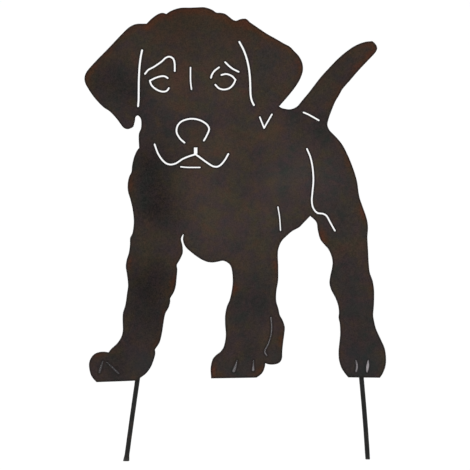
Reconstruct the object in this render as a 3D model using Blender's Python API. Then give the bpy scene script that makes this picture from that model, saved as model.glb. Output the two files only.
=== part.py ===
"""A garden statue of a standing puppy, cut from one sheet of steel and held in the soil by two round stakes.

Frame, in metres: X runs to the right as seen from the front, Y away from the viewer, Z up. The origin is on
the ground line, midway between the stakes and in the middle of the sheet's thickness. The puppy is a cutting
pattern drawn by hand. Left and right are the viewer's.
"""
import math

import bmesh
import bpy
import numpy as np
from mathutils import Vector
from mathutils.geometry import delaunay_2d_cdt

# Sheet
FIGURE_HEIGHT = 0.449
SHEET_THICKNESS = 0.002

# How finely curves are drawn
CURVE_STEPS = 16
CHORD_ERROR = 0.00005
MERGE_DISTANCE = 0.000001
SHARP_EDGE = math.radians(35)

# Widths of the lines cut through the sheet
EAR_LINE_WIDTH = 0.0025
FACE_LINE_WIDTH = 0.0023
LIP_LINE_WIDTH = 0.0018
FOREHEAD_LINE_WIDTH = 0.0019
MUZZLE_SLOT_WIDTH = 0.0044
CHEST_MARK_WIDTH = 0.0021
BODY_LINE_WIDTH = 0.0022
SHOULDER_LINE_WIDTH = 0.0015
LEG_LINE_WIDTH = 0.0005
TOE_LINE_WIDTH = 0.0008
OPEN_TOE_LINE_WIDTH = 0.0015
FAINT_TOE_LINE_WIDTH = 0.00025
CAP_STEPS = 6
STRAIGHT_LINE_STEPS = 8

# Stakes, each leaning outwards below the ground line
STAKE_DIAMETER = 0.0054
STAKE_OVERLAP = 0.040
NEAR_STAKE_DEPTH = 0.0965
HIND_STAKE_DEPTH = 0.0935
NEAR_STAKE_LEAN = math.radians(7.9)
HIND_STAKE_LEAN = math.radians(4.4)
PINCH_LENGTH = 0.009
NEAR_TIP_SPREAD = 1.15
HIND_TIP_SPREAD = 1.0
TIP_THINNING = 0.62
STAKE_END_CHAMFER = 0.0005
STAKE_SIDES = 24

# Weld beads between each stake and the back of the sheet
CLEARANCE = 0.0003
WELD_START = 0.012
WELD_TOP_GAP = 0.004
WELD_LEG = 0.0034
WELD_CLIMB = math.radians(78)
WELD_BULGE = 0.00035
WELD_END_SIZE = 0.45
WELD_STATIONS = 9
WELD_ARC_POINTS = 6
WELD_FACE_STEPS = 4

# The pattern is drawn in its own millimetres, this tall from the ground line to the crown
DRAWN_HEIGHT = 449.0
UNIT = FIGURE_HEIGHT / DRAWN_HEIGHT

# Where the stakes cross the ground line, in the pattern
NEAR_STAKE_X = -135.4
HIND_STAKE_X = 134.2

# The outer outline, clockwise from the left end of the crown. Each stretch is smooth and starts at a corner.
OUTLINE = {
    "crown": [
        (-100.3, 440.6), (-96.0, 443.6), (-90.0, 446.2), (-83.0, 447.9), (-70.0, 448.2), (-55.0, 448.6),
        (-50.1, 447.4), (-45.0, 445.3), (-40.5, 442.3)],
    "crown tuft and right ear": [
        (-40.5, 442.3), (-35.0, 441.9), (-30.0, 440.7), (-25.0, 437.1), (-20.0, 433.3), (-16.5, 432.5),
        (-11.9, 434.2), (-8.5, 434.9), (-4.6, 434.6), (0.0, 430.6), (10.2, 423.6), (20.2, 416.8),
        (30.2, 411.2), (40.0, 405.5), (48.0, 401.1), (52.6, 396.4), (58.5, 390.0), (62.2, 383.0),
        (63.4, 374.5), (61.0, 365.1), (55.4, 355.0), (47.8, 345.0), (34.6, 329.7)],
    "back and tail": [
        (34.6, 329.7), (37.9, 327.8), (43.1, 326.5), (47.5, 326.1), (52.4, 327.2), (57.3, 330.2),
        (62.3, 336.2), (70.0, 345.4), (85.0, 364.8), (95.0, 375.8), (105.0, 386.2), (115.2, 395.0),
        (125.1, 401.8), (132.1, 405.1), (139.0, 407.2), (146.7, 408.0)],
    "tail tip": [
        (146.7, 408.0), (149.2, 405.9), (151.7, 402.5), (152.4, 399.0), (150.3, 394.7), (140.6, 384.2),
        (130.5, 373.5), (120.4, 361.8), (110.5, 350.2), (106.5, 343.0), (102.5, 336.4), (97.7, 325.1),
        (94.1, 315.0), (92.7, 308.0), (93.7, 304.0), (96.0, 300.2)],
    "rump and hind leg": [
        (96.0, 300.2), (105.0, 290.9), (110.8, 283.5), (117.7, 270.0), (123.7, 255.0), (128.2, 240.0),
        (129.9, 228.0), (131.4, 220.0), (134.8, 210.0), (138.4, 200.0), (140.7, 191.5), (141.4, 184.0),
        (140.7, 173.0), (141.5, 157.0), (142.4, 140.0), (143.7, 129.9), (147.1, 120.0), (148.7, 109.0),
        (148.5, 92.0), (147.6, 79.0), (148.5, 73.0), (150.8, 63.5), (156.8, 50.0), (161.2, 40.0),
        (163.0, 29.0), (162.4, 18.5), (159.2, 9.6), (155.8, 4.4)],
    "hind paw underside": [
        (155.8, 4.4), (118.1, 4.8)],
    "hind leg, inner side": [
        (118.1, 4.8), (114.6, 9.0), (110.3, 15.5), (107.2, 25.0), (106.5, 35.0), (107.5, 46.0),
        (108.5, 57.0), (108.0, 69.0), (106.5, 76.5), (107.0, 82.0), (106.2, 90.0), (102.9, 99.8),
        (97.6, 110.0), (95.6, 118.0), (96.5, 126.0), (98.6, 135.5), (99.3, 143.5), (97.3, 152.3),
        (93.6, 159.5), (88.8, 164.8), (84.8, 170.0), (81.8, 180.0), (80.6, 189.0)],
    "flank": [
        (80.6, 189.0), (79.0, 192.3), (72.3, 198.6)],
    "belly and far leg": [
        (72.3, 198.6), (64.5, 190.6), (59.5, 185.4), (50.0, 179.9), (44.2, 174.9), (38.9, 169.7),
        (35.7, 164.4), (33.5, 157.0), (33.2, 149.0), (33.7, 138.0), (33.6, 121.9)],
    "far leg": [
        (33.6, 121.9), (32.4, 114.5), (31.2, 105.0), (31.4, 95.5), (34.1, 86.0), (35.6, 79.3), (38.8, 73.5),
        (41.5, 65.0), (41.0, 57.5), (39.4, 45.0), (38.5, 35.0), (38.3, 28.5), (36.6, 24.0), (33.2, 21.4),
        (27.0, 20.2), (21.5, 20.7), (18.1, 22.0)],
    "front paw, heel": [
        (18.1, 22.0), (17.9, 18.7), (15.3, 11.2), (11.5, 7.1), (7.0, 4.5)],
    "front paw, underside": [
        (7.0, 4.5), (-46.4, 3.6)],
    "front paw and leg": [
        (-46.4, 3.6), (-47.1, 14.0), (-46.4, 20.1), (-44.2, 27.0), (-40.4, 31.3), (-35.5, 35.1),
        (-31.8, 40.3), (-29.8, 47.1), (-28.8, 56.0), (-29.6, 68.0), (-29.6, 79.0), (-27.6, 89.3),
        (-24.3, 97.2), (-21.7, 108.5), (-20.5, 119.5), (-21.3, 132.0), (-23.0, 138.4), (-26.6, 142.4),
        (-32.4, 144.8), (-38.0, 143.8), (-45.0, 142.7), (-52.5, 143.8), (-62.2, 148.8), (-70.1, 154.8),
        (-76.1, 160.1), (-79.3, 165.5), (-80.3, 171.0), (-79.5, 175.9)],
    "breast crease": [
        (-79.5, 175.9), (-80.1, 176.6), (-80.9, 175.8)],
    "near leg, inner side": [
        (-80.9, 175.8), (-82.5, 172.8), (-83.0, 169.5), (-81.9, 165.6), (-81.0, 160.5), (-81.0, 153.8),
        (-83.6, 147.6), (-88.0, 139.7)],
    "near leg, lower inner side": [
        (-88.0, 139.7), (-87.5, 134.0), (-88.2, 124.5), (-89.5, 113.5), (-91.5, 107.2), (-95.9, 99.8)],
    "near pastern": [
        (-95.9, 99.8), (-96.1, 95.0), (-97.9, 88.5), (-101.4, 82.2), (-102.9, 77.0), (-104.1, 69.4),
        (-105.9, 57.8), (-108.8, 46.6), (-114.1, 38.2)],
    "near paw, heel": [
        (-114.1, 38.2), (-113.9, 33.0), (-115.7, 26.0), (-119.3, 17.0), (-124.8, 9.6), (-130.0, 5.5),
        (-137.5, 0.9)],
    "near paw, underside": [
        (-137.5, 0.9), (-184.0, -0.9)],
    "near paw, toes": [
        (-184.0, -0.9), (-187.3, 2.5), (-190.4, 7.0), (-192.6, 15.0), (-192.8, 22.0), (-190.7, 27.7),
        (-186.2, 32.7), (-180.0, 34.9), (-174.8, 35.2), (-169.6, 34.4)],
    "near leg, front": [
        (-169.6, 34.4), (-167.0, 38.0), (-159.0, 45.7), (-154.1, 53.5), (-152.4, 61.0), (-152.6, 72.0),
        (-152.3, 81.5), (-149.4, 91.3), (-147.4, 105.0), (-146.1, 115.0), (-147.4, 128.0), (-148.8, 137.5),
        (-147.9, 145.0), (-145.1, 154.5), (-143.8, 164.5), (-143.6, 171.8), (-141.2, 176.6), (-140.1, 181.5),
        (-139.2, 192.0), (-140.5, 205.4), (-143.3, 218.0), (-146.3, 228.5), (-146.4, 238.0), (-144.6, 245.9),
        (-142.1, 251.0), (-141.2, 259.0), (-139.2, 267.8), (-136.0, 275.7), (-132.8, 280.1)],
    "throat": [
        (-132.8, 280.1), (-133.3, 289.0), (-133.1, 297.0), (-130.7, 303.2), (-130.2, 309.5), (-131.1, 315.7),
        (-134.8, 319.2), (-137.5, 317.3), (-138.3, 312.5), (-140.2, 305.7)],
    "left ear": [
        (-140.2, 305.7), (-143.5, 303.6), (-147.3, 302.8), (-151.2, 304.2), (-160.2, 315.6), (-168.5, 324.2),
        (-175.4, 328.8), (-185.7, 339.4), (-193.3, 350.1), (-197.7, 358.4), (-198.4, 364.4), (-196.1, 370.9),
        (-184.5, 384.4), (-169.8, 399.4), (-154.7, 415.4), (-146.6, 423.3), (-141.3, 426.8), (-135.9, 428.6),
        (-124.0, 428.9)],
    "left ear root": [
        (-124.0, 428.9), (-117.5, 435.4), (-110.0, 440.5), (-105.0, 441.9), (-100.3, 440.6)],
}

# The lines cut through the sheet: the width, or widths from one end to the other, and the points of the
# middle line. Lines that meet share a point there. Every end is round except the muzzle slot's.
SLOTS = {
    "left ear line": (EAR_LINE_WIDTH, [
        (-129.5, 397.2), (-131.1, 389.5), (-132.7, 376.0), (-133.5, 358.0), (-133.7, 338.0),
        (-134.3, 330.1)]),
    "right ear line": (EAR_LINE_WIDTH, [
        (-12.8, 407.3), (-8.3, 398.9), (-4.6, 389.4), (-1.6, 377.0), (0.0, 363.0), (1.0, 341.5),
        (2.9, 334.9), (4.7, 331.5)]),
    "left brow": (FACE_LINE_WIDTH, [
        (-126.0, 368.9), (-122.3, 373.4), (-114.9, 377.6), (-105.7, 384.0), (-101.0, 388.2), (-96.5, 389.5),
        (-92.3, 387.1), (-90.6, 382.4), (-90.3, 372.3)]),
    "left upper eyelid": (FACE_LINE_WIDTH, [
        (-120.2, 360.7), (-112.0, 364.6), (-104.5, 366.2), (-101.1, 365.4), (-98.8, 363.8)]),
    "left lower eyelid": (FACE_LINE_WIDTH, [
        (-120.2, 360.7), (-118.4, 355.7), (-114.0, 351.3), (-108.0, 348.2), (-103.0, 347.6), (-99.7, 348.7),
        (-97.4, 351.8)]),
    "forehead line": (FOREHEAD_LINE_WIDTH, [
        (-71.4, 376.6), (-71.3, 360.0), (-70.2, 350.4)]),
    "right inner brow": (FACE_LINE_WIDTH, [
        (-37.2, 376.7), (-42.6, 372.5), (-45.6, 368.0), (-46.8, 364.2)]),
    "right outer brow": (FACE_LINE_WIDTH, [
        (-29.8, 382.9), (-25.1, 378.3), (-20.1, 374.6), (-13.7, 371.4)]),
    "right upper eyelid": (FACE_LINE_WIDTH, [
        (-17.4, 361.8), (-21.8, 366.3), (-28.5, 368.7), (-34.3, 367.6)]),
    "right lower eyelid": (FACE_LINE_WIDTH, [
        (-17.4, 361.8), (-20.0, 356.3), (-24.5, 351.9), (-30.8, 350.1), (-37.1, 351.5), (-41.6, 355.8)]),
    "nose": (FACE_LINE_WIDTH, [
        (-78.6, 286.4), (-84.1, 291.4), (-88.1, 299.0), (-87.0, 306.4), (-82.0, 311.9), (-71.0, 315.0),
        (-60.0, 313.2), (-51.7, 308.0), (-49.1, 302.9), (-51.6, 295.6), (-55.3, 288.9)]),
    "mouth, left": (FACE_LINE_WIDTH, [
        (-114.5, 284.3), (-110.1, 272.7), (-103.9, 264.1), (-99.1, 260.8), (-94.3, 260.1), (-89.0, 261.5),
        (-80.5, 266.9), (-72.8, 270.1), (-65.3, 272.4)]),
    "mouth, right": (FACE_LINE_WIDTH, [
        (-65.3, 272.4), (-59.1, 267.8), (-50.0, 261.3), (-44.0, 257.9), (-39.2, 257.5), (-35.3, 259.6),
        (-30.4, 265.2), (-26.0, 272.8)]),
    "muzzle slot": (MUZZLE_SLOT_WIDTH, [
        (-65.2, 280.7), (-65.2, 273.0)]),
    "lip line": (LIP_LINE_WIDTH, [
        (-83.1, 257.4), (-76.0, 256.7), (-60.1, 256.6)]),
    "chest mark, left": (CHEST_MARK_WIDTH, [
        (11.8, 316.9), (16.9, 303.9)]),
    "chest mark, right": (CHEST_MARK_WIDTH, [
        (16.9, 303.9), (26.3, 320.3)]),
    "tail root line": (BODY_LINE_WIDTH, [
        (64.3, 322.6), (70.1, 320.1), (76.6, 316.6), (82.5, 313.1)]),
    "haunch line": (BODY_LINE_WIDTH, [
        (68.4, 278.8), (72.2, 269.8), (74.9, 257.9), (76.1, 242.0), (74.9, 226.0), (74.2, 216.5),
        (75.8, 208.1), (80.8, 202.1), (87.5, 201.0), (91.5, 198.8), (97.3, 188.8), (101.9, 180.7)]),
    "shoulder line": (SHOULDER_LINE_WIDTH, [
        (33.5, 209.2), (35.5, 197.0), (36.6, 181.1)]),
    "leg line": (LEG_LINE_WIDTH, [
        (25.0, 76.5), (26.0, 66.0), (25.0, 54.5), (21.8, 44.7), (18.3, 37.9), (17.9, 34.5), (20.2, 30.9)]),
    "near paw, left toe line": ((0.6 * FAINT_TOE_LINE_WIDTH, FAINT_TOE_LINE_WIDTH), [
        (-176.2, 23.9), (-179.2, 16.2), (-181.1, 10.6)]),
    "near paw, right toe line": ((0.6 * FAINT_TOE_LINE_WIDTH, FAINT_TOE_LINE_WIDTH), [
        (-170.9, 21.7), (-164.2, 15.8), (-157.4, 9.6)]),
    "front paw, left toe line": ((0.25 * TOE_LINE_WIDTH, 0.6 * TOE_LINE_WIDTH, 0.9 * TOE_LINE_WIDTH), [
        (-15.7, 24.6), (-17.3, 18.5), (-19.8, 12.6)]),
    "front paw, right toe line": ((0.2 * TOE_LINE_WIDTH, 0.6 * TOE_LINE_WIDTH, TOE_LINE_WIDTH), [
        (4.3, 24.3), (3.8, 13.3)]),
    "hind paw, left toe line": ((0.25 * TOE_LINE_WIDTH, TOE_LINE_WIDTH, 0.5 * TOE_LINE_WIDTH), [
        (127.1, 24.6), (128.3, 18.6), (127.4, 12.0)]),
    "hind paw, right toe line": ((0.6 * TOE_LINE_WIDTH, OPEN_TOE_LINE_WIDTH, 0.75 * TOE_LINE_WIDTH), [
        (142.1, 24.6), (141.1, 18.4), (140.2, 11.8)]),
}


def clear_scene():
    """Remove every object, mesh and material, so that the script can run again."""
    for item in list(bpy.data.objects):
        bpy.data.objects.remove(item)
    for blocks in (bpy.data.meshes, bpy.data.materials):
        for block in list(blocks):
            blocks.remove(block)


def steel(name, colour, roughness, metallic):
    """A plain metal material."""
    material = bpy.data.materials.new(name)
    material.use_nodes = True
    shader = material.node_tree.nodes["Principled BSDF"]
    shader.inputs["Base Color"].default_value = (*colour, 1.0)
    shader.inputs["Roughness"].default_value = roughness
    shader.inputs["Metallic"].default_value = metallic
    material.diffuse_color = (*colour, 1.0)
    return material


def add_object(name, mesh, material, parent=None):
    """Turn a bmesh into a named object with smooth round sides and sharp edges."""
    data = bpy.data.meshes.new(name)
    bmesh.ops.recalc_face_normals(mesh, faces=mesh.faces[:])
    mesh.to_mesh(data)
    mesh.free()
    data.shade_smooth()
    data.set_sharp_from_angle(angle=SHARP_EDGE)
    data.materials.append(material)
    item = bpy.data.objects.new(name, data)
    item.parent = parent
    bpy.context.scene.collection.objects.link(item)
    return item


def curve_through(points):
    """A smooth line through the points: a centripetal Catmull-Rom curve, with straight ends."""
    controls = np.array(points) * UNIT
    if len(controls) == 2:
        return controls
    controls = np.vstack([2 * controls[0] - controls[1], controls, 2 * controls[-1] - controls[-2]])
    steps = np.linalg.norm(np.diff(controls, axis=0), axis=1) ** 0.5
    knots = np.concatenate([[0.0], np.cumsum(steps)])

    def blend(t, i, j, first, last):
        return ((knots[j] - t) * first + (t - knots[i]) * last) / (knots[j] - knots[i])

    line = []
    for k in range(1, len(controls) - 2):
        t = np.linspace(knots[k], knots[k + 1], CURVE_STEPS, endpoint=False)[:, None]
        near = blend(t, k - 1, k, controls[k - 1], controls[k])
        middle = blend(t, k, k + 1, controls[k], controls[k + 1])
        far = blend(t, k + 1, k + 2, controls[k + 1], controls[k + 2])
        line.append(blend(t, k, k + 1, blend(t, k - 1, k + 1, near, middle), blend(t, k, k + 2, middle, far)))
    line.append(controls[-2:-1])
    return np.vstack(line)


def kept_points(line, first=0, last=None):
    """Indices of the points that keep a line within CHORD_ERROR of its full course, its ends included."""
    last = len(line) - 1 if last is None else last
    chord = line[last] - line[first]
    away = line[first:last + 1] - line[first]
    distance = np.abs(away[:, 0] * chord[1] - away[:, 1] * chord[0]) / np.linalg.norm(chord)
    furthest = int(np.argmax(distance))
    if distance[furthest] < CHORD_ERROR:
        return [first, last]
    split = first + furthest
    return kept_points(line, first, split) + kept_points(line, split, last)[1:]


def outline_loop():
    """The sheet's outer outline as one closed loop."""
    loop = []
    for points in OUTLINE.values():
        line = curve_through(points)
        loop.extend(line[kept_points(line)[:-1]])
    return np.array(loop)


def round_cap(centre, start, turn):
    """Points of a half circle about centre, from start, without its two ends."""
    radius = start - centre
    angles = turn * np.linspace(0, math.pi, CAP_STEPS + 1)[1:-1]
    return [centre + (radius[0] * math.cos(a) - radius[1] * math.sin(a),
                      radius[0] * math.sin(a) + radius[1] * math.cos(a)) for a in angles]


def slot_loop(widths, points, square=False):
    """The closed outline of a slot along a middle line, with round ends, or square ones."""
    line = curve_through(points)
    if len(line) == 2:
        line = np.linspace(line[0], line[1], STRAIGHT_LINE_STEPS + 1)
    along = np.gradient(line, axis=0)
    along /= np.linalg.norm(along, axis=1)[:, None]
    across = np.column_stack([-along[:, 1], along[:, 0]])
    run = np.concatenate([[0.0], np.cumsum(np.linalg.norm(np.diff(line, axis=0), axis=1))])
    widths = np.atleast_1d(widths)
    half = np.interp(run / run[-1], np.linspace(0, 1, len(widths)), widths)[:, None] / 2
    kept = kept_points(line)
    if len(widths) > 1:
        kept = sorted({*kept, len(line) // 2})
    left = (line + across * half)[kept]
    right = (line - across * half)[kept]
    far_cap = [] if square else round_cap(line[-1], left[-1], -1)
    near_cap = [] if square else round_cap(line[0], right[0], -1)
    return np.array([*left, *far_cap, *right[::-1], *near_cap])


def sheet_with_slots():
    """Points and triangles of the flat sheet: inside the outline and outside every slot."""
    loops = [outline_loop()]
    loops += [slot_loop(widths, points, name == "muzzle slot") for name, (widths, points) in SLOTS.items()]
    points = [Vector(point) for loop in loops for point in loop]
    starts = np.cumsum([0] + [len(loop) for loop in loops])
    # Every loop runs clockwise, and the triangulation takes them the other way round
    rings = [list(range(start, end))[::-1] for start, end in zip(starts[:-1], starts[1:])]
    flat, _, faces, _, _, covers = delaunay_2d_cdt(points, [], rings, 0, MERGE_DISTANCE)
    return flat, [face for face, cover in zip(faces, covers) if list(cover) == [0]]


def make_sheet(material):
    """The puppy: the flat pattern given its thickness, with the front face towards -Y."""
    points, triangles = sheet_with_slots()
    mesh = bmesh.new()
    corners = [mesh.verts.new((point.x, -SHEET_THICKNESS / 2, point.y)) for point in points]
    for triangle in triangles:
        mesh.faces.new([corners[i] for i in triangle])
    bmesh.ops.delete(mesh, geom=[corner for corner in corners if not corner.link_faces], context="VERTS")
    extruded = bmesh.ops.extrude_face_region(mesh, geom=mesh.faces[:])
    back = [item for item in extruded["geom"] if isinstance(item, bmesh.types.BMVert)]
    bmesh.ops.translate(mesh, verts=back, vec=(0, SHEET_THICKNESS, 0))
    return add_object("puppy_plate", mesh, material)


def loft(mesh, rings):
    """Skin a row of rings of equal length, and close both ends."""
    rows = [[mesh.verts.new(point) for point in ring] for ring in rings]
    count = len(rows[0])
    for row, following in zip(rows[:-1], rows[1:]):
        for k in range(count):
            mesh.faces.new((row[k], row[(k + 1) % count], following[(k + 1) % count], following[k]))
    mesh.faces.new(rows[0])
    mesh.faces.new(rows[-1][::-1])


def make_stake(name, ground_x, lean, depth, spread, material):
    """A round rod along its own Z, against the back of the sheet, with its origin on the ground line.

    lean turns it about Y. Its upper end is behind the paw. Its lower end is pinched by the shears that cut
    it: spread sideways, thinned from front to back, and cut level.
    """
    radius = STAKE_DIAMETER / 2
    trim = STAKE_END_CHAMFER / radius
    stations = [(STAKE_OVERLAP, 1 - trim, 1 - trim, 0), (STAKE_OVERLAP - STAKE_END_CHAMFER, 1, 1, 0)]
    for pinch in (0, 0.5, 1):
        height = STAKE_END_CHAMFER + (1 - pinch) * PINCH_LENGTH - depth
        stations.append((height, 1 + pinch * (spread - 1), 1 + pinch * (TIP_THINNING - 1), pinch ** 2))
    stations.append((-depth, spread - trim, TIP_THINNING - trim, 1))
    rings = []
    for height, wide, deep, level in stations:
        ring = []
        for k in range(STAKE_SIDES):
            angle = 2 * math.pi * k / STAKE_SIDES
            x = radius * wide * math.cos(angle)
            ring.append((x, radius * deep * math.sin(angle), height + level * x * math.tan(lean)))
        rings.append(ring)
    mesh = bmesh.new()
    loft(mesh, rings)
    stake = add_object(name, mesh, material)
    stake.location = (ground_x * UNIT, SHEET_THICKNESS / 2 + CLEARANCE + radius, 0)
    stake.rotation_euler = (0, lean, 0)
    return stake


def make_weld(name, stake, side, material):
    """A bead in the corner between a stake and the sheet, in the stake's own frame. side is -1 or 1."""
    radius = STAKE_DIAMETER / 2
    inner = radius + CLEARANCE
    low_angle = math.acos(radius / inner)
    floor = -radius
    rings = []
    for share in np.linspace(0, 1, WELD_STATIONS):
        size = WELD_END_SIZE + (1 - WELD_END_SIZE) * math.sqrt(1 - (2 * share - 1) ** 4)
        climb = low_angle + (WELD_CLIMB - low_angle) * size
        angles = np.linspace(low_angle, climb, WELD_ARC_POINTS)
        section = [(inner * math.sin(a), -inner * math.cos(a)) for a in angles]
        top = np.array(section[-1])
        toe = np.array([section[0][0] + WELD_LEG * size, floor])
        outward = np.array([top[1] - toe[1], toe[0] - top[0]]) / np.linalg.norm(toe - top)
        for t in np.linspace(0, 1, WELD_FACE_STEPS + 1)[1:]:
            section.append(top + t * (toe - top) + outward * WELD_BULGE * size * 4 * t * (1 - t))
        height = WELD_START + share * (STAKE_OVERLAP - WELD_TOP_GAP - WELD_START)
        rings.append([(side * x, y, height) for x, y in section])
    mesh = bmesh.new()
    loft(mesh, rings)
    return add_object(name, mesh, material, parent=stake)


def main():
    clear_scene()
    rusty_sheet = steel("rusty sheet steel", (0.032, 0.026, 0.022), 0.78, 0.35)
    black_rod = steel("black steel rod", (0.020, 0.019, 0.018), 0.62, 0.5)
    weld_metal = steel("weld metal", (0.045, 0.038, 0.032), 0.5, 0.7)
    make_sheet(rusty_sheet)
    near_stake = make_stake(
        "near_paw_stake", NEAR_STAKE_X, NEAR_STAKE_LEAN, NEAR_STAKE_DEPTH, NEAR_TIP_SPREAD, black_rod)
    hind_stake = make_stake(
        "hind_paw_stake", HIND_STAKE_X, -HIND_STAKE_LEAN, HIND_STAKE_DEPTH, HIND_TIP_SPREAD, black_rod)
    for paw, stake in (("near_paw", near_stake), ("hind_paw", hind_stake)):
        for word, side in (("left", -1), ("right", 1)):
            make_weld(f"{paw}_weld_{word}", stake, side, weld_metal)


main()
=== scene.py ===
"""The looks of a garden statue: a puppy cut from weathered sheet steel, its two stakes and their welds.

Everything is in metres in the part's own frame: X to the right as seen from the front, Y away from the
viewer, Z up. The cutting pattern is worked on flat, in millimetres across and up, and small sizes are in
millimetres. Left and right are the viewer's.
"""
import math

import bpy
import numpy as np
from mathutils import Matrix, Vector
from mathutils.geometry import delaunay_2d_cdt


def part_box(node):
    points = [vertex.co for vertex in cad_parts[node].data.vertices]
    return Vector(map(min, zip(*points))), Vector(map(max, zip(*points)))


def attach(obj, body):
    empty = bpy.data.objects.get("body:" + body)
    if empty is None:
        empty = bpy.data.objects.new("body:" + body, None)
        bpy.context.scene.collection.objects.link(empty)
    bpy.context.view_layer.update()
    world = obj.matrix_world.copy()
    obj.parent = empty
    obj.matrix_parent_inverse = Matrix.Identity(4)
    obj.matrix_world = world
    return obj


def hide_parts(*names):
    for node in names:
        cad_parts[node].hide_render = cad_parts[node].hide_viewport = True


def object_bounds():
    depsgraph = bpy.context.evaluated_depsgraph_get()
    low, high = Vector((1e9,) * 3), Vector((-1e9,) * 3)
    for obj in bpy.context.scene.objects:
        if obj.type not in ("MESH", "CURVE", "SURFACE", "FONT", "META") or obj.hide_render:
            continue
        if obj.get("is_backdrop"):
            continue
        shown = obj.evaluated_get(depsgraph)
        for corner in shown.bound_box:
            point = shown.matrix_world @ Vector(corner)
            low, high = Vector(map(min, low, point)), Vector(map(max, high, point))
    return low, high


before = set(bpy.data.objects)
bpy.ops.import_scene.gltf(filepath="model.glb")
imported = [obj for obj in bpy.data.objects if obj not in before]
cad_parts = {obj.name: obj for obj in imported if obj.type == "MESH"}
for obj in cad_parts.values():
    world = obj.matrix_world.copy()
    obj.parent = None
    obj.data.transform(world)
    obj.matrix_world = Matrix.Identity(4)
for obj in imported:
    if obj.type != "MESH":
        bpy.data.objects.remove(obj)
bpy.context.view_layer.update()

MM = 0.001
SHARP_EDGE = math.radians(28)
WAVES = 7
BLOCK = 1200

# The solid's outline and slots, redrawn finer
SHEET = "puppy_plate"
MERGE_STEP = 0.001 * MM
SPUR_LENGTH = 0.3
SPUR_COSINE = -0.7
CORNER_TURN = math.radians(40)
OUTLINE_STEP = 1.1
SLOT_STEP = 0.6
NARROW_SLOT = 1.2

# The cut walls and their bevels
EDGE_BEVEL = 0.16
SLOT_BEVEL = 0.13
EDGE_LIP = 0.25
SLOT_LIP_SHARE = 0.10
LARGEST_SLOT_LIP = 0.20
SHORT_EDGE_SHARE = 0.45
NARROWEST_CORNER = 0.8
WALL_STATIONS = (0.0, 0.45, 1.0)
WALL_RIPPLE = 0.22
RIPPLE_AT_FRONT = 0.35
DRAG_LENGTH = 1.9
SHAKE_LENGTH = 6.0

# The grooves: each station's share of the width, depth through the sheet, and shade, a painted lift of the
# grey on the deeper walls
GROOVE_STEP = 0.5
GROOVE_CAP = 5
GROOVE_STATIONS = ((0.85, 0.05, 1.0), (0.45, 0.32, 1.15), (0.0, 0.55, 1.15))

# The faces and the warp of the whole sheet
FACE_STEP = 2.2
RING_CLEARANCE = 0.55 * FACE_STEP
JOIN_REACH = 1e-4
WARP = 0.22
WARP_LENGTH = 230
BUCKLE_LENGTH = 90
WARP_FREE = (16.0, 70.0)

# Stakes
BACKWARD = np.array([0.0, 1.0, 0.0])
STAKES = ("near_paw", "hind_paw")
ROD_BOW = {"near_paw": -0.15, "hind_paw": 0.4}
ROD_LONGER = {"near_paw": 0.6, "hind_paw": 0.9}
TIP_FLARE = {"near_paw": 1.1, "hind_paw": 0.95}
TIP_LENGTH = 1.0
TIP_THINNING = 0.62
PINCH_LENGTH = 9.0
ROD_SIDES = 40
ROD_STEP = 1.3
ROD_SKIN = 0.22
ROD_ROUGHNESS = 0.035
DENT_LENGTH = 14
DENT_RADIUS = 3
PIT_LENGTH = 3.2
END_ROUND = 0.5
END_ROUND_WIDTH = 0.7 * END_ROUND
END_SHARES = (0.0, 0.3, 0.6, 0.85)

# Weld beads
BEAD_STEP = 0.14
BEAD_SECTION = 24
BEAD_END_SIZE = 0.42
BEAD_WAVER = 0.06
BEAD_WAVER_LENGTH = 9
BEAD_BULGE = 0.5
BEAD_SUNK = 0.05
ROD_OVERLAP = 0.97
ROOT_OVERLAP = 0.5
RIPPLE_PITCH = 1.6
RIPPLE_HEIGHT = 0.11
RIPPLE_BEND = 0.7
RIPPLE_LEAN = 0.6
RIPPLE_DRIFT = 0.25
RIPPLE_DRIFT_LENGTH = 8

# The photograph's frame in the sheet's plane, in millimetres, and the camera in metres
VIEW_WIDTH = 564.0
VIEW_CENTRE = (-18.0, 175.5)
CAMERA_DISTANCE = 5.0
SENSOR_WIDTH = 36.0

# The studio, in metres: a floor from its near edge to the wall, curved where they meet, and its light
FLOOR_FRONT = -9.0
WALL_BACK = 8.0
WALL_TOP = 6.0
SWEEP_RADIUS = 1.5
SWEEP_SIDE = 8.0
LIGHT_AIM = (0.0, 0.0, 0.18)
SKY_STRENGTH = 0.95
BACKDROP_GREY = 0.3
BACKDROP_GLOW = 0.72


def mesh_piece(name, points, faces, material, layers=None):
    """A smooth mesh object at the origin, from points in metres and faces over them.

    The layers are values under a name, one for each point.
    """
    mesh = bpy.data.meshes.new(name)
    mesh.from_pydata(points.tolist(), [], faces)
    mesh.validate()
    for layer, values in (layers or {}).items():
        attribute = mesh.attributes.new(layer, "FLOAT", "POINT")
        attribute.data.foreach_set("value", np.asarray(values, np.float32))
    mesh.shade_smooth()
    mesh.set_sharp_from_angle(angle=SHARP_EDGE)
    mesh.materials.append(material)
    piece = bpy.data.objects.new(name, mesh)
    bpy.context.scene.collection.objects.link(piece)
    return piece


def node_points(node):
    """The corners of a solid, in metres."""
    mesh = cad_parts[node].data
    points = np.empty(len(mesh.vertices) * 3)
    mesh.vertices.foreach_get("co", points)
    return points.reshape(-1, 3)


def smoothstep(low, high, value):
    """0 below low, 1 above high, and an S-shaped rise between them."""
    share = np.clip((value - low) / (high - low), 0, 1)
    return share * share * (3 - 2 * share)


def cubic(share, start, leaving, end, arriving):
    """The Hermite cubic from start to end at a share of the way, with its slopes leaving and arriving."""
    return (start * (2 * share ** 3 - 3 * share ** 2 + 1) + leaving * (share ** 3 - 2 * share ** 2 + share)
            + end * (3 * share ** 2 - 2 * share ** 3) + arriving * (share ** 3 - share ** 2))


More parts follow.
